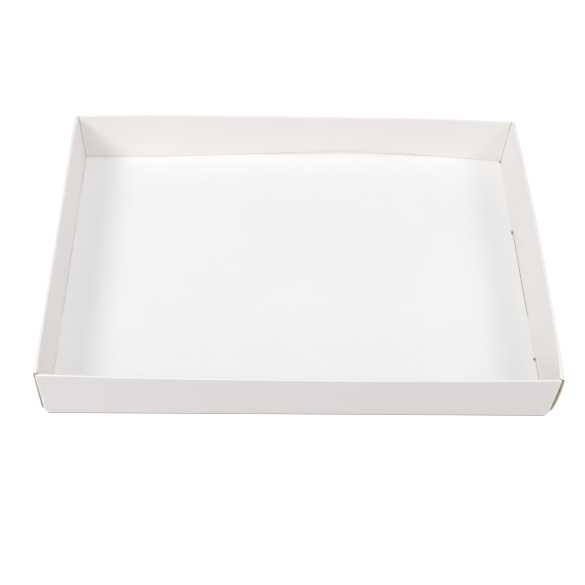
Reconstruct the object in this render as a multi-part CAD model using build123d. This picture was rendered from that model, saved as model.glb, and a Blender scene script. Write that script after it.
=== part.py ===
from build123d import *

import os
from math import copysign, cos, pi, radians, sin

# Base half of a flat card box: one die-cut sheet of white card, folded into an open tray.
# The front and back walls fold up from the base, turn over at the top and hang down inside as linings.
# The side walls roll over the dust flaps of the front and back walls, and their linings stand on the
# base with three tabs each, which are pushed down through slots in the base.
# The tray stands on the plane z = 0 with its base centred on the origin, front towards -Y.

# Tray sizes, outside the folds
tray_width = 311.0
tray_depth = 224.0
tray_height = 38.0

# Card
card = 0.6
ply_gap = 0.2  # air between two plies of one wall
crease_radius = 0.2  # inside of a fold
score = 0.03  # how far a fold line is pressed into each face of the card
root = 0.4  # how far a folded panel is drawn into the panel that it grows from

# Front and back walls: how far the top edge leans into the tray
front_inset_left = 2.6
front_inset_right = 1.2
front_inset_middle = 0.1
back_inset_left = 3.4
back_inset_right = 3.5
back_inset_middle = 0.9

# Linings of the front and back walls
lining_side_gap = 0.2  # to the feet of the side linings, at each end
front_foot_standoff = 2.0  # room face of the lining's lower edge, in from the front crease
front_foot_height = 1.4  # of the lower edge, above the table
back_foot_standoff_left = 7.2
back_foot_standoff_right = 6.9
back_foot_height_end = 0.8
back_foot_height_crown = 3.3
crown_place_share = 0.27  # where the bowed back lining touches the wall, as a share of its half length

# Side walls: how far the rim leans out along the tray, and how far the wall bellies out below it
rim_width = 2.0  # flat top of a side wall, outside its two folds
left_lean_front = 0.8
left_lean_middle = 0.7
left_lean_back = 1.1
left_belly_front = 0.2
left_belly_middle = 0.2
left_belly_back = 0.2
right_lean_front = 1.5
right_lean_middle = 3.1
right_lean_back = 1.1
right_belly_front = 2.2
right_belly_middle = 0.7
right_belly_back = 0.7
pinch_share = 0.8  # how much of its lean a side lining would lose at the very corners

# Corners of the front and back walls: how far their tops lean out beside the side walls
front_flare_left = 0.6
front_flare_right = 1.9
back_flare_left = 0.8
back_flare_right = 0.8
corner_cut_width = 2.5  # slanted cut at the foot of each corner
corner_cut_height = 4.5

# Ends of the side walls
side_end_inset_low = 0.8  # raw edge of the outer panel, in from the corner, above the relief
left_rim_inset_front = 4.3  # the same at the rim
left_rim_inset_back = 4.3
right_rim_inset_front = 2.3
right_rim_inset_back = 4.3
relief_height = 7.0  # slanted relief at the foot of the raw edge
relief_depth = 2.0
side_lining_inset = 5.0  # raw edge of the side lining, in from the corner
front_right_lining_inset = 3.2  # the same at the front right corner

# Tabs of the side linings and their slots in the base
foot_clearance = 0.2  # side lining above the base
middle_tab_length = 72.0
corner_tab_length = 33.6
corner_tab_inset = 2.4  # tab's outer end, in from the raw edge of the lining
tab_lift = 0.1  # tab's lower edge above the table
slot_end_front = 0.5  # slot beyond the tab, at its front end
slot_end_back = 1.3  # slot beyond the tab, at its back end
slot_back_clearance = 0.15  # slot beyond the tab, towards the wall
slot_room_left = 0.15  # slot beyond the tab, towards the room, in the tight left wall
slot_room_right_front = 0.25  # the same in the right wall
slot_room_right_middle = 0.4
slot_room_right_back = 0.12
slot_notch = 1.1  # square notch at the back end of each right slot, towards the room

# Dust flaps
flap_gap = 0.4  # from the outer panel of the side wall to the flap, at its foot
lining_gap = 0.5  # from the flap to the side lining, at its foot
flap_length = 24.0  # from the corner
flap_top_gap = 1.0  # below the top fold
flap_slack = 0.1  # between the flap's tip and the outer panel of the side wall
front_right_bulge = 0.5  # how far the front right flap follows the belly of the side wall, half way up

# Drawing aids
overrun = 2.0  # how far a cutting tool passes what it cuts
bow_power = 2  # of the curve along a wall that bows evenly
held_power = 4  # of the curve along a wall that its corners hold back
lift_power = 3  # of the lift of the back lining's foot towards its crown
pinch_power = 10  # of the curve of a side lining that only its corners hold back
wall_stations = 9  # sections along the front and back walls
side_stations = 17  # sections along a side wall
bulge_stations = 5  # sections up a flap that bulges

# Sizes that follow from those above
bend = card + crease_radius  # outside radius of a right-angled fold
turn = card + ply_gap / 2  # outside radius of the fold that turns a lining over
side_wall = 3 * card + flap_gap + lining_gap  # outer panel, dust flap and lining
half_width = tray_width / 2
half_depth = tray_depth / 2
pressed_card = card - 2 * score  # card at a fold line, between its pressed faces
flap_offset = card + flap_gap + score  # outer face of a dust flap, in from the side of the tray
wall_end = half_width - flap_offset - bend  # end of the front and back panels, where the flaps fold off
lining_end = half_width - side_wall - lining_side_gap
side_lining_end = half_depth - side_lining_inset
side_end_low = half_depth - side_end_inset_low
side_crease_end = side_end_low - relief_depth
corner_tab_end = side_lining_end - corner_tab_inset
side_foot = card + foot_clearance
flap_bottom = corner_cut_height
left_leans = (left_lean_front, left_lean_middle, left_lean_back)
left_bellies = (left_belly_front, left_belly_middle, left_belly_back)
left_rim_insets = (left_rim_inset_front, left_rim_inset_back)
right_leans = (right_lean_front, right_lean_middle, right_lean_back)
right_bellies = (right_belly_front, right_belly_middle, right_belly_back)
right_rim_insets = (right_rim_inset_front, right_rim_inset_back)
left_slot_rooms = (slot_room_left, slot_room_left, slot_room_left)
right_slot_rooms = (slot_room_right_front, slot_room_right_middle, slot_room_right_back)
left_lining_insets = (side_lining_inset, side_lining_inset)
right_lining_insets = (front_right_lining_inset, side_lining_inset)


# Walls that are bowed along their length; a share runs from -1 to 1


def shares(count):
    return [2 * number / (count - 1) - 1 for number in range(count)]


def bow(share, left, middle, right, power):
    """Value that runs from left to right and swells to middle half way."""
    chord = left + (right - left) * (share + 1) / 2
    return chord + (middle - (left + right) / 2) * (1 - abs(share) ** power)


def front_inset(share):
    return bow(share, front_inset_left, front_inset_middle, front_inset_right, bow_power)


def back_inset(share):
    return bow(share, back_inset_left, back_inset_middle, back_inset_right, held_power)


def back_crown(share):
    """How far the bowed back lining has reached the wall behind it: 0 at its ends, 1 at its crown."""
    way = share - crown_place_share
    if way < 0:
        return (1 + cos(pi * way / (1 + crown_place_share))) / 2
    return 1 - (way / (1 - crown_place_share)) ** bow_power


def side_lean(share, leans):
    return bow(share, *leans, bow_power)


def lining_lean(share, leans):
    """Lean of a side lining, which follows the rim except where the dust flaps hold its corners back."""
    rim_lean, end_lean = (side_lean(way, leans) for way in (share, copysign(1, share)))
    pinch = pinch_share * abs(share) ** pinch_power
    return rim_lean + side_wall - rim_width - pinch * (end_lean + side_wall - rim_width)


def flared(share, z, left_flare, right_flare):
    """Place along the front or back wall, whose corners lean out at the top."""
    top = tray_height - turn
    flare = (right_flare * (share + 1) + left_flare * (share - 1)) / 2
    return share * wall_end + flare * (z - bend) / (top - bend)


# Sections of the walls; d runs inwards from the outside of the tray, z upwards


def outline(place, steps):
    """Closed wire of lines and arcs: a step is an end point, or an arc's middle and end points."""
    edges = []
    start = place(*steps[-1][-1])
    for step in steps:
        points = [place(*point) for point in step]
        edges.append(Line(start, *points) if len(points) == 1 else ThreePointArc(start, *points))
        start = points[-1]
    return Wire(edges)


def arc(centre, radius, middle_angle, end_angle):
    """Step of an outline along an arc, by the angles of its middle and its end."""
    angles = (radians(middle_angle), radians(end_angle))
    return [(centre[0] + radius * cos(angle), centre[1] + radius * sin(angle)) for angle in angles]


def crease_outside():
    return arc((bend, bend), bend, 225, 180)


def crease_inside():
    """Inside of the base crease and the root that reaches into the base."""
    return [
        [(card, card)],
        [(bend, card)],
        [(bend + root, card - score)],
        [(bend + root, score)],
        [(bend, 0)],
    ]


def turned_section(place, inset, foot_standoff, foot_height):
    """Front or back wall: up the outer panel, over the top and down the lining."""
    top = tray_height - turn
    centre = (inset + turn, top)
    return outline(place, [
        crease_outside(),
        [(inset, top)],
        arc(centre, turn, 135, 90),
        arc(centre, turn, 45, 0),
        [(foot_standoff, foot_height)],
        [(foot_standoff - card, foot_height)],
        [(inset + turn + ply_gap / 2, top)],
        [(inset + turn - ply_gap / 2, top)],
        *crease_inside(),
    ])


def rolled_section(place, lean, belly, lining_lean):
    """Side wall: up the outer panel, across the flat rim and down the lining."""
    top = tray_height - bend
    half_way = (bend + top) / 2
    outer_fold = (bend - lean, top)
    inner_fold = (side_wall - lining_lean - bend, top)
    return outline(place, [
        crease_outside(),
        [(-lean / 2 - belly, half_way), (-lean, top)],
        arc(outer_fold, bend, 135, 90),
        [(inner_fold[0], tray_height)],
        arc(inner_fold, bend, 45, 0),
        [(side_wall, side_foot)],
        [(side_wall - card, side_foot)],
        [(side_wall - lining_lean - card, tray_height - card)],
        [(card - lean, tray_height - card)],
        [(card - lean / 2 - belly, half_way), (card, card)],
        *crease_inside()[1:],
    ])


# Panels of the folded sheet


def front_wall():
    sections = []
    for share in shares(wall_stations):
        def place(d, z, share=share):
            return Vector(flared(share, z, front_flare_left, front_flare_right), d - half_depth, z)
        inset = front_inset(share)
        sections.append(turned_section(place, inset, front_foot_standoff, front_foot_height))
    wall = Solid.make_loft(sections)
    wall = wall - lining_end_tool(-1, -1, front_inset_left, front_foot_standoff, left_leans)
    return wall - lining_end_tool(1, -1, front_inset_right, front_foot_standoff, right_leans)


def back_wall():
    """Back wall, with its lining pushed against it at the crown and standing away at both ends."""
    sections = []
    crown_standoff = 2 * card + ply_gap / 2
    standoff_rise = (back_foot_standoff_right - back_foot_standoff_left) / 2
    for share in shares(wall_stations):
        def place(d, z, share=share):
            return Vector(flared(share, z, back_flare_left, back_flare_right), half_depth - d, z)
        crown = back_crown(share)
        standoff = back_foot_standoff_left + standoff_rise * (share + 1)
        standoff = standoff + (crown_standoff - standoff) * crown
        lift = crown ** lift_power
        foot_height = back_foot_height_end + (back_foot_height_crown - back_foot_height_end) * lift
        sections.append(turned_section(place, back_inset(share), standoff, foot_height))
    wall = Solid.make_loft(sections)
    wall = wall - lining_end_tool(-1, 1, back_inset_left, back_foot_standoff_left, left_leans)
    return wall - lining_end_tool(1, 1, back_inset_right, back_foot_standoff_right, right_leans)


def lining_end_tool(side, end, inset, foot_standoff, leans):
    """Everything of a front or back lining that would reach into the side lining beside it."""
    deep = foot_standoff + inset + overrun
    corners = [
        (inset + turn, tray_height + overrun),
        (inset + turn, tray_height - turn),
        (foot_standoff / 2, card),
        (deep, card),
        (deep, tray_height + overrun),
    ]
    slope = lining_lean(end * side_lining_end / half_depth, leans) / tray_height
    points = [Vector(side * (lining_end + slope * z), end * (half_depth - d), z) for d, z in corners]
    return extrude(Face(Wire.make_polygon(points)), half_width + overrun - lining_end, dir=(side, 0, 0))


def side_wall_panel(side, leans, bellies, rim_insets, lining_insets):
    """Rolled side wall with its tabs; side is -1 for the left wall and 1 for the right one."""
    sections = []
    for share in shares(side_stations):
        def place(d, z, y=share * half_depth):
            return Vector(side * (half_width - d), y, z)
        belly = bow(share, *bellies, bow_power)
        sections.append(rolled_section(place, side_lean(share, leans), belly, lining_lean(share, leans)))
    wall = Solid.make_loft(sections)
    reach = max(leans) + max(bellies)
    for end, rim_inset, lining_inset in zip((-1, 1), rim_insets, lining_insets):
        wall = wall - side_end_tool(side, end, reach, rim_inset)
        wall = wall - side_lining_tool(side, end, leans, lining_inset)
    for start, stop in tab_places():
        height = side_foot + root - tab_lift
        tab = Box(pressed_card, stop - start, height, align=(Align.CENTER, Align.MIN, Align.MIN))
        wall = wall + Pos(side * (half_width - side_wall + card / 2), start, tab_lift) * tab
    return wall


def side_end_tool(side, end, reach, rim_inset):
    """Everything beyond the slanted raw edge of a side wall and the relief at its foot."""
    rim_end = half_depth - rim_inset
    corners = [
        (side_crease_end, -overrun),
        (side_crease_end, 0),
        (side_end_low, relief_height),
        (rim_end, tray_height),
        (rim_end, tray_height + overrun),
        (half_depth + overrun, tray_height + overrun),
        (half_depth + overrun, -overrun),
    ]
    start = half_width - side_wall - overrun
    length = half_width + reach + overrun - start
    points = [Vector(side * start, end * y, z) for y, z in corners]
    return extrude(Face(Wire.make_polygon(points)), length, dir=(side, 0, 0))


def side_lining_tool(side, end, leans, inset):
    """Everything of a side lining beyond its raw edge."""
    behind = side_wall - card - ply_gap / 2
    corners = [
        (side_wall + overrun, card + score),
        (behind, card + score),
        (behind - lining_lean(end * side_lining_end / half_depth, leans), tray_height),
        (side_wall + overrun, tray_height + overrun),
    ]
    points = [Vector(side * (half_width - d), end * (half_depth - inset), z) for d, z in corners]
    return extrude(Face(Wire.make_polygon(points)), inset + overrun, dir=(0, end, 0))


def tab_places():
    """Front and back end of each tab of a side lining."""
    return [
        (-corner_tab_end, corner_tab_length - corner_tab_end),
        (-middle_tab_length / 2, middle_tab_length / 2),
        (corner_tab_end - corner_tab_length, corner_tab_end),
    ]


def base():
    """Base panel with the slots for the tabs, which end in a notch on the right."""
    margin = 2 * bend + root
    plate = Box(tray_width - margin, tray_depth - margin, card)
    plate = Pos(0, 0, card / 2) * plate
    for side, rooms in ((-1, left_slot_rooms), (1, right_slot_rooms)):
        outer = half_width - side_wall + card + slot_back_clearance
        for (start, stop), room in zip(tab_places(), rooms):
            inner = half_width - side_wall - room
            length = stop - start + slot_end_front + slot_end_back
            slot = Box(outer - inner, length, overrun, align=(Align.CENTER, Align.MIN, Align.CENTER))
            plate = plate - Pos(side * (inner + outer) / 2, start - slot_end_front, card / 2) * slot
    for (start, stop), room in zip(tab_places(), right_slot_rooms):
        notch = Box(slot_notch, slot_notch, overrun, align=(Align.MAX, Align.MAX, Align.CENTER))
        plate = plate - Pos(half_width - side_wall - room, stop + slot_end_back, card / 2) * notch
    return plate


def corner_tool(side, end):
    """Slanted cut at the foot of a corner, through the front or back panel and the corner of the base."""
    outer = half_width - card - flap_gap / 2
    corners = [
        (outer - corner_cut_width, -overrun),
        (outer - corner_cut_width, 0),
        (outer, corner_cut_height),
        (outer, -overrun),
    ]
    points = [Vector(side * x, end * side_crease_end, z) for x, z in corners]
    return extrude(Face(Wire.make_polygon(points)), half_depth + overrun - side_crease_end, dir=(0, end, 0))


def dust_flap(side, end, inset, flare, leans, bulge=0):
    """Flap at one end of the front or back wall, folded along the side of the tray."""
    top = tray_height - turn
    flap_height = top - flap_top_gap - flap_bottom
    tip = half_depth - flap_length
    tip_lean = side_lean(end * tip / half_depth, leans) + flap_gap - flap_slack
    sections = []
    for share in shares(bulge_stations if bulge else 2):
        z = flap_bottom + flap_height * (share + 1) / 2
        rise_share = (z - bend) / (top - bend)
        corner = half_depth - inset * rise_share - score
        panel_end = flap_offset + bend - flare * rise_share
        start = panel_end - bulge * (1 - share ** 2)
        outer = start - bend
        inner = outer + pressed_card
        tip_shift = (tip_lean - flare) * rise_share

        def place(d, y, z=z):
            return Vector(side * (half_width - d), end * y, z)
        fold = (start, corner - bend)
        sections.append(outline(place, [
            arc(fold, bend, 135, 180),
            [(outer - tip_shift, tip)],
            [(inner - tip_shift, tip)],
            [(inner, corner - bend)],
            arc(fold, bend - pressed_card, 135, 90),
            [(panel_end + root / 2, corner - pressed_card)],
            [(panel_end + root / 2, corner)],
            [(start, corner)],
        ]))
    return Solid.make_loft(sections, ruled=True)


# The folded sheet

tray = base() + front_wall() + back_wall()
for side, end in ((-1, -1), (-1, 1), (1, -1), (1, 1)):
    tray = tray - corner_tool(side, end)
tray = tray + side_wall_panel(-1, left_leans, left_bellies, left_rim_insets, left_lining_insets)
tray = tray + side_wall_panel(1, right_leans, right_bellies, right_rim_insets, right_lining_insets)
tray = tray + dust_flap(-1, -1, front_inset_left, front_flare_left, left_leans)
tray = tray + dust_flap(1, -1, front_inset_right, front_flare_right, right_leans, front_right_bulge)
tray = tray + dust_flap(-1, 1, back_inset_left, back_flare_left, left_leans)
tray = tray + dust_flap(1, 1, back_inset_right, back_flare_right, right_leans)

os.makedirs("parts", exist_ok=True)
export_step(tray, "parts/box_base.step")
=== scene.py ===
from math import ceil, copysign, cos, pi, radians, sin

import bmesh
import bpy
from mathutils import Matrix, Vector

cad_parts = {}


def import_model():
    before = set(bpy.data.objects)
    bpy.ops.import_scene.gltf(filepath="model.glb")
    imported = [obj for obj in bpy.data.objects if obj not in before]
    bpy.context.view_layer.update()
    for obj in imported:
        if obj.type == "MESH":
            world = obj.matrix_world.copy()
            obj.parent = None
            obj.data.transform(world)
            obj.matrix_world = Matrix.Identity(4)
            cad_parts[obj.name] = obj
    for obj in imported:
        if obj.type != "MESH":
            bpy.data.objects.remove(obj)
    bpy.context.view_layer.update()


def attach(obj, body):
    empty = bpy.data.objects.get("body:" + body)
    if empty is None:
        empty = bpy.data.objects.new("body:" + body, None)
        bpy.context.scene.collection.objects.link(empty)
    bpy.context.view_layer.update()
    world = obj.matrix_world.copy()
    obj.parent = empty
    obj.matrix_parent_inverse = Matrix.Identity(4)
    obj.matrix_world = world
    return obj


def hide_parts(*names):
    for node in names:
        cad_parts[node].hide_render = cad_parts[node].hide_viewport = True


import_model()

# Base half of a flat card box: one white sheet, folded into an open tray.
# The sheet is drawn as the surface half way through the card, and thickened at the end.
# Lengths are in metres, with the front of the tray towards -Y.

# Tray sizes, outside the folds
tray_width = 0.311
tray_depth = 0.224
tray_height = 0.038

# Card
card = 0.0006
ply_gap = 0.0002
crease_radius = 0.0002

# Front and back walls: how far the top edge leans into the tray
front_inset_left = 0.0026
front_inset_right = 0.0012
front_inset_middle = 0.0001
back_inset_left = 0.0034
back_inset_right = 0.0035
back_inset_middle = 0.0009

# Linings of the front and back walls
lining_side_gap = 0.0002
front_foot_standoff = 0.0020
front_foot_height = 0.0014
back_foot_standoff_left = 0.0072
back_foot_standoff_right = 0.0069
back_foot_height_end = 0.0008
back_foot_height_crown = 0.0033
crown_place_share = 0.27

# Side walls: how far the rim leans out along the tray, and how far the wall bellies out below it
rim_width = 0.0020
left_leans = (0.0008, 0.0007, 0.0011)
left_bellies = (0.0002, 0.0002, 0.0002)
right_leans = (0.0015, 0.0031, 0.0011)
right_bellies = (0.0012, 0.0007, 0.0007)
pinch_share = 0.8

# Corners of the front and back walls: how far their tops lean out, and the slanted cut at their foot
front_flares = (0.0006, 0.0009)
back_flares = (0.0008, 0.0008)
corner_cut_width = 0.0025
corner_cut_height = 0.0045

# Ends of the side walls
side_end_inset_low = 0.0008
left_rim_insets = (0.0043, 0.0043)
right_rim_insets = (0.0023, 0.0043)
relief_height = 0.0070
relief_depth = 0.0020
side_lining_inset = 0.0050
front_right_lining_inset = 0.0032

# Tabs of the side linings and their slots in the base
foot_clearance = 0.0002
middle_tab_length = 0.0720
corner_tab_length = 0.0336
corner_tab_inset = 0.0024
tab_lift = 0.0001
slot_end_front = 0.0005
slot_end_back = 0.0013
slot_back_clearance = 0.00015
left_slot_rooms = (0.00015, 0.00015, 0.00015)
right_slot_rooms = (0.00025, 0.00040, 0.00012)
slot_notch = 0.0011

# Dust flaps
flap_gap = 0.0004
lining_gap = 0.0005
flap_length = 0.0240
flap_top_gap = 0.0010
flap_slack = 0.0001

# Curves along the walls
bow_power = 2
held_power = 4
pinch_power = 10
lift_power = 10  # of the lift of the back lining's foot towards its crown
reach_power = 3  # of what that foot gains towards the wall on its way to the crown
reach_share = 0.33

# Mesh spacing
panel_step = 0.0035
rise_step = 0.0030
flap_step = 0.0025
arc_steps = 7
weld_distance = 1e-7
sharp_angle = 40

# Strips along the edges of the sheet where its tone changes: real fray, and painted shade, highlight and
# bounce light
frayed_width = 0.00035  # along a cut edge, where the brown core shows through
wall_end_fray = 0.0100  # painted warm shade inside the ends of the side walls, in the gap beside the folds of the dust flaps
lining_fray = 0.0018  # at the ends of the linings of the front and back walls
foot_fray = 0.0006  # along the foot of those linings: a frayed cut edge, with painted warm shade of the gap under it
foot_fray_share = 0.35  # strength of that strip away from the crown of the back lining
foot_fray_power = 3  # of how that strength grows towards the crown
tab_fray = 0.0025  # painted warm bounce light on the right lining, above its tabs
tab_fray_share = 0.7  # strength of that painted strip
fold_wear = 0.0012  # painted highlight along the folds between the front and back walls and their dust flaps, where the rounded fold catches the light

# Tones of the card
top_tone_low = (0.872, 0.872, 0.872)
top_tone_high = (0.892, 0.892, 0.892)
under_tone_low = (0.882, 0.856, 0.844)
under_tone_high = (0.902, 0.880, 0.870)
tooth_tone_low = (0.972, 0.972, 0.972)
tooth_tone_high = (1, 1, 1)
fray_tone = (0.90, 0.82, 0.68)
top_marks = {
    # Painted warm shade inside the ends of the side walls, where they lie in shade beside the dust flaps'
    # folds
    "wall_end": (0.97, 0.76, 0.55),
    # Painted shade: dark brown on the base round the notch at the back end of each right slot, where the
    # hole lies in shade
    "slot_end": (0.30, 0.21, 0.08),
}
under_marks = {
    # Cream: frayed cut edges at the ends of the front and back linings, and painted warm bounce light on
    # the right lining above its tabs
    "lining_edge": (0.98, 0.91, 0.76),
    # Tan along the foot of the front and back linings: partly their frayed cut edge, partly painted warm
    # shade of the gap beneath it
    "lining_foot": (0.80, 0.69, 0.56),
    # Painted highlight on the folds into the dust flaps, where the rounded fold catches the light
    "worn_fold": (0.97, 0.97, 0.97),
}
core_tone_low = (0.92, 0.78, 0.56)
core_tone_high = (0.98, 0.91, 0.74)
layer_tone_low = (0.4, 0.4, 0.4)
layer_tone_high = (0.62, 0.62, 0.62)
layer_strength = 0.35
mark_strength = 0.9
fray_strengths = (0.2, 0.9)

# Grain of the card: scale, detail and roughness of each noise, and the values that its tones run between
cloud_noise = (14, 3, 0.5)
tooth_noise = (900, 5, 0.65)
fibre_noise = (2600, 4, 0.7)
layer_noise = (180, 3, 0.6)
noise_stops = (0.3, 0.7)
tooth_stops = (0.3, 0.62)

# Surface of the card: a bump has a strength and a depth
face_roughness = (0.52, 0.68)
face_specular = 0.3
face_bump = (0.25, 0.00004)
core_roughness = 0.85
core_specular = 0.15
core_bump = (0.5, 0.00008)

# Sockets of a mix node that mixes colours: the factor and both colours, and the result
mix_inputs = (0, 6, 7)
mix_output = 2

# Floor and light: a lamp has an azimuth, an elevation, a size and a power
floor_reach = 4.0
floor_height = -0.00002
floor_bounce = (0.62, 0.62, 0.62)
floor_shade = (0.30, 0.30, 0.30)
# Painted shade: where it is seen, the floor under the tray is dark brown, for the warm shade in the slots
# and notches
floor_shade_under = (0.24, 0.15, 0.09)
floor_glow = 0.84
world_strength = 0.48
lamp_distance = 1.5
lamps = {
    "key": (-60, 45, 0.5, 6.1),
    "fill": (60, 45, 0.5, 4.3),
    "low_front": (-30, 25, 0.5, 2.1),
    "low_back": (130, 30, 0.5, 0.8),
    "overhead": (0, 89, 0.6, 3.4),
}

# Camera
image_pixels = 585
focal_pixels = 1064.6
sensor_width = 36
camera_near = 0.01
camera_pitch = 52.758
camera_yaw = -2.472
camera_roll = 2.480
camera_place = Vector((-0.02107, -0.44759, 0.56557))

# Sizes that follow from those above
half_card = card / 2
bend = card + crease_radius
turn = card + ply_gap / 2
side_wall = 3 * card + flap_gap + lining_gap
half_width = tray_width / 2
half_depth = tray_depth / 2
flap_middle = card + flap_gap + half_card  # middle of a dust flap, in from the side of the tray
wall_end = half_width - card - flap_gap - bend
lining_end = half_width - side_wall - lining_side_gap
side_lining_end = half_depth - side_lining_inset
side_end_low = half_depth - side_end_inset_low
side_crease_end = side_end_low - relief_depth
corner_tab_end = side_lining_end - corner_tab_inset
side_foot = card + foot_clearance
slot_outer_edge = half_width - side_wall + card + slot_back_clearance
base_end_x = half_width - bend
base_end_y = half_depth - bend
corner_cut_end = half_width - card - flap_gap / 2 - corner_cut_width  # of a front or back crease
flap_bottom = corner_cut_height
fold_bottom = corner_cut_height * (wall_end - corner_cut_end) / corner_cut_width


# Curves along the walls; a share runs from -1 to 1


def bow(share, left, middle, right, power):
    """Value that runs from left to right and swells to middle half way."""
    chord = left + (right - left) * (share + 1) / 2
    return chord + (middle - (left + right) / 2) * (1 - abs(share) ** power)


def front_inset(share):
    return bow(share, front_inset_left, front_inset_middle, front_inset_right, bow_power)


def back_inset(share):
    return bow(share, back_inset_left, back_inset_middle, back_inset_right, held_power)


def back_crown(share):
    """How far the bowed back lining has reached the wall behind it: 0 at its ends, 1 at its crown."""
    way = share - crown_place_share
    if way < 0:
        return (1 + cos(pi * way / (1 + crown_place_share))) / 2
    return 1 - (way / (1 - crown_place_share)) ** bow_power


def side_lean(share, leans):
    return bow(share, *leans, bow_power)


def lining_lean(share, leans):
    """Lean of a side lining, which follows the rim except where the dust flaps hold its corners back."""
    rim_lean, end_lean = (side_lean(way, leans) for way in (share, copysign(1, share)))
    pinch = pinch_share * abs(share) ** pinch_power
    return rim_lean + side_wall - rim_width - pinch * (end_lean + side_wall - rim_width)


def flare(share, z, end):
    """How far a place on the front or back wall moves sideways, as its corners lean out at the top."""
    top = tray_height - turn
    left, right = front_flares if end < 0 else back_flares
    return (right * (share + 1) + left * (share - 1)) / 2 * (z - bend) / (top - bend)


def lining_flare(share, z, end):
    """How far a place on the front or back lining moves sideways with the side linings beside it."""
    way = end * side_lining_end / half_depth
    left, right = (lining_lean(way, leans) for leans in (left_leans, right_leans))
    return (right * (share + 1) + left * (share - 1)) / 2 * z / tray_height


def spaced(marks, step):
    """The marks in order, with even steps between them that are no longer than step."""
    marks = sorted(set(marks))
    values = [marks[0]]
    for low, high in zip(marks, marks[1:]):
        count = ceil((high - low) / step)
        values += [low + (high - low) * number / count for number in range(1, count + 1)]
    return values


def cut_shares(length, fray, step):
    """Shares of the way across a panel that ends at a frayed cut edge, after the first."""
    return [way / length for way in spaced([0, length - fray, length - frayed_width, length], step)[1:]]


def arc(centre, radius, start_angle, end_angle):
    """Points of an arc after its first one."""
    points = []
    for number in range(1, arc_steps + 1):
        angle = radians(start_angle + (end_angle - start_angle) * number / arc_steps)
        points.append((centre[0] + radius * cos(angle), centre[1] + radius * sin(angle)))
    return points


# The sheet


def grid(sheet, rows, kept=None, **marks):
    """Quads between rows of points; kept tells which to make, and a mark holds a value for each point."""
    made = [[sheet.verts.new(point) for point in row] for row in rows]
    for name, values in marks.items():
        layer = sheet.verts.layers.float[name]
        for verts, numbers in zip(made, values):
            for vert, number in zip(verts, numbers):
                vert[layer] = min(max(number, 0), 1)
    for i in range(len(made) - 1):
        for j in range(len(made[i]) - 1):
            if kept is None or kept(i, j):
                sheet.faces.new((made[i][j], made[i][j + 1], made[i + 1][j + 1], made[i + 1][j]))


def tab_places():
    """Front and back end of each tab of a side lining."""
    return [
        (-corner_tab_end, corner_tab_length - corner_tab_end),
        (-middle_tab_length / 2, middle_tab_length / 2),
        (corner_tab_end - corner_tab_length, corner_tab_end),
    ]


def between(y, start, stop):
    return start - weld_distance <= y <= stop + weld_distance


def on_tab(y):
    return any(between(y, *place) for place in tab_places())


def slot_places():
    """Front and back end of each slot."""
    return [(start - slot_end_front, stop + slot_end_back) for start, stop in tab_places()]


def slot_inner_edges(side):
    """Inner edge of each slot of one side, from the middle of the tray."""
    return [half_width - side_wall - room for room in (left_slot_rooms if side < 0 else right_slot_rooms)]


def panel_end(z):
    """Half length of the front or back panel at a height, less where its lower corners are cut."""
    return min(wall_end, corner_cut_end + corner_cut_width * z / corner_cut_height)


def relief_end(z, side, end):
    """End of the outer panel of a side wall at a height, from the middle of the tray."""
    if z < relief_height:
        return side_crease_end + relief_depth * z / relief_height
    front, back = left_rim_insets if side < 0 else right_rim_insets
    slant = (front if end < 0 else back) - side_end_inset_low
    return side_end_low - slant * (z - relief_height) / (tray_height - relief_height)


def base_lines_x():
    marks = [-base_end_x, base_end_x]
    for side in (-1, 1):
        for inner in slot_inner_edges(side):
            marks += [side * inner, side * (inner - frayed_width)]
            marks += [inner - slot_notch, inner - slot_notch - frayed_width] if side > 0 else []
        marks += [side * slot_outer_edge]
        marks += [side * (wall_end - inward) for inward in (0, frayed_width, fold_wear, lining_fray)]
    return spaced(marks, panel_step)


def base_lines_y():
    marks = [-base_end_y, base_end_y]
    for end in (-1, 1):
        marks += [end * (side_crease_end - inward) for inward in (0, frayed_width, wall_end_fray)]
    for start, stop in slot_places():
        marks += [start - frayed_width, start, stop - slot_notch, stop, stop + frayed_width]
    for start, stop in tab_places():
        marks += [y * side_crease_end / side_lining_end for y in (start, stop)]
    return spaced(marks, panel_step)


def in_slot(x, y):
    for (start, stop), inner in zip(slot_places(), slot_inner_edges(x)):
        if start < y < stop and inner < abs(x) < slot_outer_edge:
            return True
    return False


def in_notch(x, y, room=0):
    """Whether a place is in the notch at the back end of a right slot, or no further than room from it."""
    for (_, stop), inner in zip(slot_places(), slot_inner_edges(1)):
        along = stop - slot_notch - room < y < stop + room
        if along and inner - slot_notch - room < x < slot_outer_edge + room:
            return True
    return False


def base(sheet):
    lines_x = base_lines_x()
    lines_y = base_lines_y()

    def kept(i, j):
        x = (lines_x[j] + lines_x[j + 1]) / 2
        y = (lines_y[i] + lines_y[i + 1]) / 2
        return not in_slot(x, y) and not in_notch(x, y)

    rows = []
    for y in lines_y:
        at_crease = abs(y) > base_end_y - weld_distance
        drawn_in = panel_end(half_card) / wall_end if at_crease else 1
        rows.append([Vector((x * drawn_in, y, half_card)) for x in lines_x])
    # The base round each notch is painted dark brown, as painted shade for the hole
    notch_edges = [[float(in_notch(x, y, weld_distance)) for x in lines_x] for y in lines_y]
    grid(sheet, rows, kept, slot_end=notch_edges)


def panel_heights(top):
    """Heights of the rows up an outer panel of the front or back wall."""
    return spaced([bend, fold_bottom, flap_bottom, top - flap_top_gap, top], rise_step)


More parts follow.
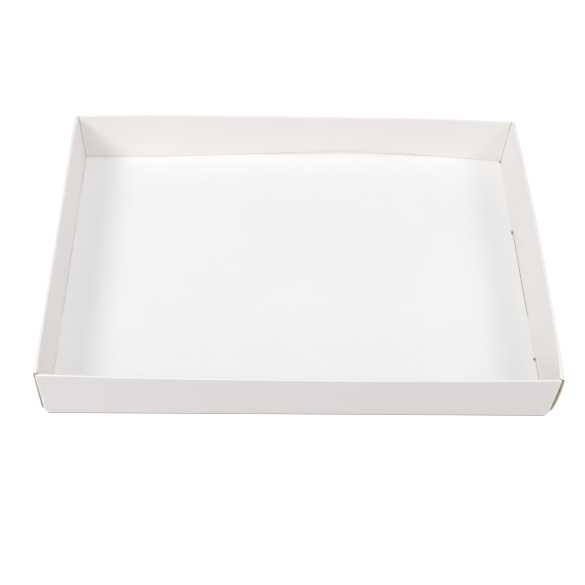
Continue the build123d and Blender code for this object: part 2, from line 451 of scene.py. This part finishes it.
def turned_wall(sheet, end, path):
    """Front or back wall, from the sections that path gives along it; end is -1 for the front."""
    shares = [x / wall_end for x in base_lines_x() if abs(x) <= wall_end + weld_distance]
    columns = []
    frays = []
    feet = []
    wears = []
    for share in shares:
        column = []
        fray = []
        foot = []
        wear = []
        rows = path(share)
        foot_height = rows[-1][2]
        # The foot strip, frayed edge and painted shade, is strongest where the back lining's foot is
        # lifted most
        bared = back_crown(share) ** foot_fray_power if end > 0 else 0
        foot_strength = foot_fray_share + (1 - foot_fray_share) * bared
        for ply, d, z in rows:
            if ply == "outer":
                x = share * panel_end(z) + flare(share, z, end)
                fray.append(0)
                foot.append(0)
                # Painted highlight near the panel's ends, on its folds into the dust flaps
                wear.append(1 - panel_end(z) * (1 - abs(share)) / fold_wear)
            else:
                x = share * lining_end + lining_flare(share, z, end)
                fray.append(1 - lining_end * (1 - abs(share)) / lining_fray)
                foot.append(foot_strength * (1 - (z - foot_height) / foot_fray))
                wear.append(0)
            column.append(Vector((x, end * (half_depth - d), z)))
        columns.append(column)
        frays.append(fray)
        feet.append(foot)
        wears.append(wear)
    grid(sheet, columns, lining_edge=frays, lining_foot=feet, worn_fold=wears)


def turned_path(inset, foot_standoff, foot_height):
    """Ply, depth and height of the rows of one section: crease, panel, fold and lining."""
    top = tray_height - turn
    crease = [(bend, half_card)] + arc((bend, bend), crease_radius + half_card, 270, 180)
    panel = [(half_card + inset * (z - bend) / (top - bend), z) for z in panel_heights(top)[1:]]
    centre = (inset + turn, top)
    fold = arc(centre, turn - half_card, 180, 90), arc(centre, turn - half_card, 90, 0)
    start = fold[1][-1]
    stop = (foot_standoff - half_card, foot_height)
    lining = []
    for share in cut_shares(tray_height, foot_fray, rise_step):
        lining.append(tuple(low + (high - low) * share for low, high in zip(start, stop)))
    outside = [("outer", d, z) for d, z in crease + panel + fold[0]]
    return outside + [("lining", d, z) for d, z in fold[1] + lining]


def front_path(share):
    return turned_path(front_inset(share), front_foot_standoff, front_foot_height)


def back_path(share):
    crown = back_crown(share)
    crown_standoff = 2 * card + ply_gap / 2
    standoff = back_foot_standoff_left
    standoff += (back_foot_standoff_right - back_foot_standoff_left) * (share + 1) / 2
    lift = crown ** lift_power
    reach = min(crown + reach_share * (crown ** reach_power - lift), 1)
    standoff += (crown_standoff - standoff) * reach
    foot_height = back_foot_height_end + (back_foot_height_crown - back_foot_height_end) * lift
    return turned_path(back_inset(share), standoff, foot_height)


def side_rows():
    """Rows of a side wall: the panel that each is on, and how far along it as a share."""
    arcs = [number / arc_steps for number in range(1, arc_steps + 1)]
    rise = [z / tray_height for z in spaced([0, tray_height], rise_step)[1:]]
    rows = [("crease", share) for share in [0] + arcs]
    rows += [("outer", share) for share in rise]
    rows += [("outer_fold", share) for share in arcs]
    rows += [("rim", share) for share in (0.5, 1)]
    rows += [("inner_fold", share) for share in arcs]
    return rows + [("lining", share) for share in cut_shares(tray_height, tab_fray, rise_step)]


def side_point(panel, share, lean, belly, inner_lean):
    """Depth and height of a point of a side wall's section."""
    top = tray_height - bend
    radius = bend - half_card
    inner_centre = side_wall - inner_lean - bend
    if panel == "crease":
        angle = radians(270 - 90 * share)
        return bend + radius * cos(angle), bend + radius * sin(angle)
    if panel == "outer":
        bulge = 4 * belly * share * (1 - share)
        return half_card - lean * share - bulge, bend + (top - bend) * share
    if panel == "outer_fold":
        angle = radians(180 - 90 * share)
        return bend - lean + radius * cos(angle), top + radius * sin(angle)
    if panel == "rim":
        return bend - lean + (inner_centre - bend + lean) * share, tray_height - half_card
    if panel == "inner_fold":
        angle = radians(90 - 90 * share)
        return inner_centre + radius * cos(angle), top + radius * sin(angle)
    return side_wall - half_card - inner_lean * (1 - share), top - (top - side_foot) * share


def side_wall_sheet(sheet, side, leans, bellies):
    """Rolled side wall with its tabs; side is -1 for the left wall and 1 for the right one."""
    shares = [y / side_crease_end for y in base_lines_y() if abs(y) <= side_crease_end + weld_distance]

    def point(panel, share, along):
        if panel in ("inner_fold", "lining"):
            y = along * side_lining_end
            if side > 0 and along == shares[0]:
                y = front_right_lining_inset - half_depth
        else:
            flat_height = side_point(panel, share, 0, 0, 0)[1]
            end_place = side_crease_end if panel == "crease" else relief_end(flat_height, side, along)
            y = along * end_place
        way = y / half_depth
        belly = bow(way, *bellies, bow_power)
        d, z = side_point(panel, share, side_lean(way, leans), belly, lining_lean(way, leans))
        return Vector((side * (half_width - d), y, z))

    rows = [[point(panel, share, along) for along in shares] for panel, share in side_rows()]
    # Painted warm shade on the inside of each side wall near its ends, fading away from the end
    end_frays = []
    tab_frays = []
    for panel, share in side_rows():
        outside = panel in ("crease", "outer")
        end_distances = [side_crease_end * (1 - abs(along)) for along in shares]
        end_frays.append([outside * (1 - distance / wall_end_fray) for distance in end_distances])
        # Painted warm bounce light on the right lining just above its tabs
        tabbed = side > 0 and panel == "lining"
        strength = tabbed * tab_fray_share * (1 - tray_height * (1 - share) / tab_fray)
        tab_frays.append([strength * on_tab(along * side_lining_end) for along in shares])
    grid(sheet, rows, wall_end=end_frays, lining_edge=tab_frays)
    x = side * (half_width - side_wall + half_card)
    for start, stop in tab_places():
        places = [along * side_lining_end for along in shares]
        places = [y for y in places if between(y, start, stop)]
        tab = [[Vector((x, y, z)) for y in places] for z in (side_foot, tab_lift)]
        # The painted bounce light runs on down each right tab
        strengths = (tab_fray_share * (side > 0), 0)
        grid(sheet, tab, lining_edge=[[strength] * len(places) for strength in strengths])


def flap_plan(z, inset, fold_lean, tip_lean):
    """Points of a dust flap at one height, from its fold to its tip."""
    tip = half_depth - flap_length
    rise_share = (z - bend) / (tray_height - turn - bend)
    outer = flap_middle - fold_lean * rise_share
    tip_shift = (tip_lean - fold_lean) * rise_share
    radius = bend - half_card
    fold = (outer + radius, half_depth - inset * rise_share - bend)
    plan = [(fold[0], fold[1] + radius)] + arc(fold, radius, 90, 180)
    for share in cut_shares(flap_length, frayed_width, flap_step):
        plan.append((outer - tip_shift * share, fold[1] - (fold[1] - tip) * share))
    return plan


def dust_flap(sheet, side, end, inset, fold_lean, leans):
    """Flap at one end of the front or back wall, folded along the side of the tray."""
    top = tray_height - turn
    tip_place = end * (half_depth - flap_length) / half_depth
    tip_lean = side_lean(tip_place, leans) + flap_gap - flap_slack
    rows = []
    for height in panel_heights(top):
        if fold_bottom <= height <= top - flap_top_gap:
            row = []
            for number in range(len(flap_plan(height, inset, fold_lean, tip_lean))):
                rise = min(number / arc_steps, 1)
                z = max(height, fold_bottom + (flap_bottom - fold_bottom) * rise)
                d, y = flap_plan(z, inset, fold_lean, tip_lean)[number]
                row.append(Vector((side * (half_width - d), end * y, z)))
            rows.append(row)
    # Painted highlight along the flap's fold
    wears = [[1 - number / arc_steps for number in range(len(row))] for row in rows]
    grid(sheet, rows, worn_fold=wears)


def folded_sheet():
    """The whole sheet as one surface, half way through the card."""
    sheet = bmesh.new()
    for name in ("wall_end", "slot_end", "lining_edge", "lining_foot", "worn_fold"):
        sheet.verts.layers.float.new(name)
    base(sheet)
    turned_wall(sheet, -1, front_path)
    turned_wall(sheet, 1, back_path)
    side_wall_sheet(sheet, -1, left_leans, left_bellies)
    side_wall_sheet(sheet, 1, right_leans, right_bellies)
    dust_flap(sheet, -1, -1, front_inset_left, front_flares[0], left_leans)
    dust_flap(sheet, 1, -1, front_inset_right, front_flares[1], right_leans)
    dust_flap(sheet, -1, 1, back_inset_left, back_flares[0], left_leans)
    dust_flap(sheet, 1, 1, back_inset_right, back_flares[1], right_leans)
    bmesh.ops.remove_doubles(sheet, verts=sheet.verts, dist=weld_distance)
    bmesh.ops.delete(sheet, geom=[vert for vert in sheet.verts if not vert.link_faces], context="VERTS")
    bmesh.ops.recalc_face_normals(sheet, faces=sheet.faces)
    floor_face = min(sheet.faces, key=lambda face: face.calc_center_median().length)
    if floor_face.normal.z < 0:
        bmesh.ops.reverse_faces(sheet, faces=sheet.faces)
    return sheet


def thick_card(sheet, top_material, under_material, edge_material):
    """The sheet at its real thickness: its two faces, and the core of the card on its cut edges."""
    mesh = bpy.data.meshes.new("card_surface")
    cut_edge = sheet.verts.layers.float.new("cut_edge")
    linings = [sheet.verts.layers.float[name] for name in ("lining_edge", "lining_foot")]
    for vert in sheet.verts:
        vert[cut_edge] = float(vert.is_boundary and not any(vert[layer] for layer in linings))
    sheet.to_mesh(mesh)
    sheet.free()
    for made in (top_material, under_material, edge_material):
        mesh.materials.append(made)
    surface = bpy.data.objects.new("card_surface", mesh)
    bpy.context.scene.collection.objects.link(surface)
    solidify = surface.modifiers.new("card", "SOLIDIFY")
    solidify.thickness = card
    solidify.offset = 0
    solidify.use_even_offset = True
    solidify.use_quality_normals = True
    solidify.material_offset = 1
    solidify.material_offset_rim = 2
    evaluated = surface.evaluated_get(bpy.context.evaluated_depsgraph_get())
    thick = bpy.data.meshes.new_from_object(evaluated)
    bpy.data.objects.remove(surface)
    thick.name = "folded_card"
    thick.shade_smooth()
    thick.set_sharp_from_angle(angle=radians(sharp_angle))
    piece = bpy.data.objects.new("folded_card", thick)
    bpy.context.scene.collection.objects.link(piece)
    return piece


# Materials


def material(name):
    made = bpy.data.materials.new(name)
    made.use_nodes = True
    return made, made.node_tree.nodes, made.node_tree.links


def noise(nodes, links, place, scale, detail, roughness):
    node = nodes.new("ShaderNodeTexNoise")
    node.inputs["Scale"].default_value = scale
    node.inputs["Detail"].default_value = detail
    node.inputs["Roughness"].default_value = roughness
    links.new(place, node.inputs["Vector"])
    return node.outputs["Fac"]


def ramp(nodes, links, value, stops, low_tone, high_tone):
    """Colour that runs from the low tone to the high one while a value runs between the stops."""
    node = nodes.new("ShaderNodeValToRGB")
    for element, stop, tone in zip(node.color_ramp.elements, stops, (low_tone, high_tone)):
        element.position = stop
        element.color = (*tone, 1)
    links.new(value, node.inputs["Fac"])
    return node.outputs["Color"]


def mix(nodes, links, kind, factor, first, second):
    """Two colours mixed; the factor and each colour are a value or a socket."""
    node = nodes.new("ShaderNodeMix")
    node.data_type = "RGBA"
    node.blend_type = kind
    for number, value in zip(mix_inputs, (factor, first, second)):
        if isinstance(value, bpy.types.NodeSocket):
            links.new(value, node.inputs[number])
        else:
            node.inputs[number].default_value = value
    return node.outputs[mix_output]


def spread(nodes, links, value, low, high):
    """A value from 0 to 1, moved to run from low to high."""
    node = nodes.new("ShaderNodeMapRange")
    node.inputs["To Min"].default_value = low
    node.inputs["To Max"].default_value = high
    links.new(value, node.inputs["Value"])
    return node.outputs["Result"]


def attribute(nodes, name):
    node = nodes.new("ShaderNodeAttribute")
    node.attribute_name = name
    return node.outputs["Fac"]


def add_bump(nodes, links, shader, height, strength, depth):
    node = nodes.new("ShaderNodeBump")
    node.inputs["Strength"].default_value = strength
    node.inputs["Distance"].default_value = depth
    links.new(height, node.inputs["Height"])
    links.new(node.outputs["Normal"], shader.inputs["Normal"])


def white_card(name, low_tone, high_tone, mark_tones):
    """White face of the board: soft clouds of tone, a fine tooth, brown core showing at cut edges, and
    marks that paint shade, highlights and warm bounce light on it, some of them with real fray.
    """
    made, nodes, links = material(name)
    shader = nodes["Principled BSDF"]
    place = nodes.new("ShaderNodeTexCoord").outputs["Object"]
    clouds = noise(nodes, links, place, *cloud_noise)
    tooth = noise(nodes, links, place, *tooth_noise)
    tone = ramp(nodes, links, clouds, noise_stops, low_tone, high_tone)
    fibre = ramp(nodes, links, tooth, tooth_stops, tooth_tone_low, tooth_tone_high)
    colour = mix(nodes, links, "MULTIPLY", 1, tone, fibre)
    fray = nodes.new("ShaderNodeMath")
    fray.operation = "MULTIPLY"
    links.new(attribute(nodes, "cut_edge"), fray.inputs[0])
    links.new(spread(nodes, links, tooth, *fray_strengths), fray.inputs[1])
    colour = mix(nodes, links, "MIX", fray.outputs[0], colour, (*fray_tone, 1))
    # Each mark lays its tone over the card; most of them are painted shade or light
    for mark, mark_tone in mark_tones.items():
        stain = spread(nodes, links, attribute(nodes, mark), 0, mark_strength)
        colour = mix(nodes, links, "MIX", stain, colour, (*mark_tone, 1))
    links.new(colour, shader.inputs["Base Color"])
    links.new(spread(nodes, links, tooth, *face_roughness), shader.inputs["Roughness"])
    shader.inputs["Specular IOR Level"].default_value = face_specular
    add_bump(nodes, links, shader, tooth, *face_bump)
    return made


def card_core():
    """Brown core of the board, as a die leaves it: fibrous and layered."""
    made, nodes, links = material("card_core")
    shader = nodes["Principled BSDF"]
    place = nodes.new("ShaderNodeTexCoord").outputs["Object"]
    fibres = noise(nodes, links, place, *fibre_noise)
    layers = noise(nodes, links, place, *layer_noise)
    fibre_tone = ramp(nodes, links, fibres, noise_stops, core_tone_low, core_tone_high)
    layer_tone = ramp(nodes, links, layers, noise_stops, layer_tone_low, layer_tone_high)
    colour = mix(nodes, links, "OVERLAY", layer_strength, fibre_tone, layer_tone)
    links.new(colour, shader.inputs["Base Color"])
    shader.inputs["Roughness"].default_value = core_roughness
    shader.inputs["Specular IOR Level"].default_value = core_specular
    add_bump(nodes, links, shader, fibres, *core_bump)
    return made


# Stage, light and camera


def seen_directly(nodes, links):
    """1 for what is seen, also in a reflection or through glass, and 0 for light that falls on things."""
    path = nodes.new("ShaderNodeLightPath")
    total = path.outputs["Is Camera Ray"]
    for name in ("Is Glossy Ray", "Is Transmission Ray"):
        node = nodes.new("ShaderNodeMath")
        node.operation = "MAXIMUM"
        links.new(total, node.inputs[0])
        links.new(path.outputs[name], node.inputs[1])
        total = node.outputs[0]
    return total


def turned_corners(*corners):
    """Outline that is alike in each quarter, from one quarter's corners, from its end to its side."""
    outline = []
    for side, end in ((1, -1), (1, 1), (-1, 1), (-1, -1)):
        quarter = [(side * x, end * y) for x, y in corners]
        outline += quarter if side * end < 0 else quarter[::-1]
    return outline


def floor():
    """Pale floor that looks white around the tray and still takes its shadow; under the tray it is painted
    a dark brown shade, which is what shows through the slots.
    """
    mesh = bpy.data.meshes.new("floor")
    corners = [(x, y, floor_height) for x, y in turned_corners((floor_reach, floor_reach))]
    foot = turned_corners((corner_cut_end, half_depth), (base_end_x, side_crease_end))
    corners += [(x, y, floor_height / 2) for x, y in foot]
    mesh.from_pydata(corners, [], [(0, 1, 2, 3), tuple(range(4, len(corners)))])
    mesh.materials.append(floor_material("floor_around", floor_shade, floor_glow))
    mesh.materials.append(floor_material("floor_under", floor_shade_under, 0))
    mesh.polygons[1].material_index = 1
    plane = bpy.data.objects.new("floor", mesh)
    bpy.context.scene.collection.objects.link(plane)


def floor_material(name, shade_tone, glow_strength):
    """Pale paint that is lit like any other, and glows where it is seen."""
    made, nodes, links = material(name)
    nodes.remove(nodes["Principled BSDF"])
    bounce = nodes.new("ShaderNodeBsdfDiffuse")
    bounce.inputs["Color"].default_value = (*floor_bounce, 1)
    shade = nodes.new("ShaderNodeBsdfDiffuse")
    shade.inputs["Color"].default_value = (*shade_tone, 1)
    glow = nodes.new("ShaderNodeEmission")
    glow.inputs["Strength"].default_value = glow_strength
    both = nodes.new("ShaderNodeAddShader")
    links.new(shade.outputs[0], both.inputs[0])
    links.new(glow.outputs[0], both.inputs[1])
    choice = nodes.new("ShaderNodeMixShader")
    links.new(seen_directly(nodes, links), choice.inputs[0])
    links.new(bounce.outputs[0], choice.inputs[1])
    links.new(both.outputs[0], choice.inputs[2])
    links.new(choice.outputs[0], nodes["Material Output"].inputs["Surface"])
    return made


def world():
    made = bpy.data.worlds.new("studio")
    made.use_nodes = True
    nodes, links = made.node_tree.nodes, made.node_tree.links
    light = nodes["Background"]
    light.inputs["Color"].default_value = (1, 1, 1, 1)
    light.inputs["Strength"].default_value = world_strength
    white = nodes.new("ShaderNodeBackground")
    white.inputs["Color"].default_value = (1, 1, 1, 1)
    choice = nodes.new("ShaderNodeMixShader")
    links.new(seen_directly(nodes, links), choice.inputs[0])
    links.new(light.outputs[0], choice.inputs[1])
    links.new(white.outputs[0], choice.inputs[2])
    links.new(choice.outputs[0], nodes["World Output"].inputs["Surface"])
    bpy.context.scene.world = made


def lamp(name, azimuth, elevation, size, power):
    """Square soft lamp that looks at the tray; azimuth 0 is in front of it and 90 on its right."""
    turned, raised = radians(azimuth), radians(elevation)
    way = Vector((sin(turned) * cos(raised), -cos(turned) * cos(raised), sin(raised)))
    data = bpy.data.lights.new(name, "AREA")
    data.size = size
    data.energy = power
    made = bpy.data.objects.new(name, data)
    made.location = way * lamp_distance
    made.rotation_mode = "QUATERNION"
    made.rotation_quaternion = (-way).to_track_quat("-Z", "Y")
    bpy.context.scene.collection.objects.link(made)


def camera():
    """Camera at the photograph's place, with its lens worked out for a square image."""
    pitch, yaw, roll = radians(camera_pitch), radians(camera_yaw), radians(camera_roll)
    right = Vector((cos(yaw), sin(yaw), 0))
    up = Vector((-sin(yaw) * sin(pitch), cos(yaw) * sin(pitch), cos(pitch)))
    rolled_right = cos(roll) * right + sin(roll) * up
    rolled_up = cos(roll) * up - sin(roll) * right
    data = bpy.data.cameras.new("camera")
    data.sensor_width = sensor_width
    data.lens = sensor_width * focal_pixels / image_pixels
    data.clip_start = camera_near
    made = bpy.data.objects.new("camera", data)
    turned = Matrix((rolled_right, rolled_up, rolled_right.cross(rolled_up))).transposed()
    made.matrix_world = Matrix.Translation(camera_place) @ turned.to_4x4()
    bpy.context.scene.collection.objects.link(made)
    bpy.context.scene.camera = made


piece = thick_card(
    folded_sheet(),
    white_card("card_top", top_tone_low, top_tone_high, top_marks),
    white_card("card_under", under_tone_low, under_tone_high, under_marks),
    card_core(),
)
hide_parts("box_base")
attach(piece, "root")

floor()
world()
for name, values in lamps.items():
    lamp(name, *values)
camera()

bpy.context.scene.view_settings.view_transform = "Standard"
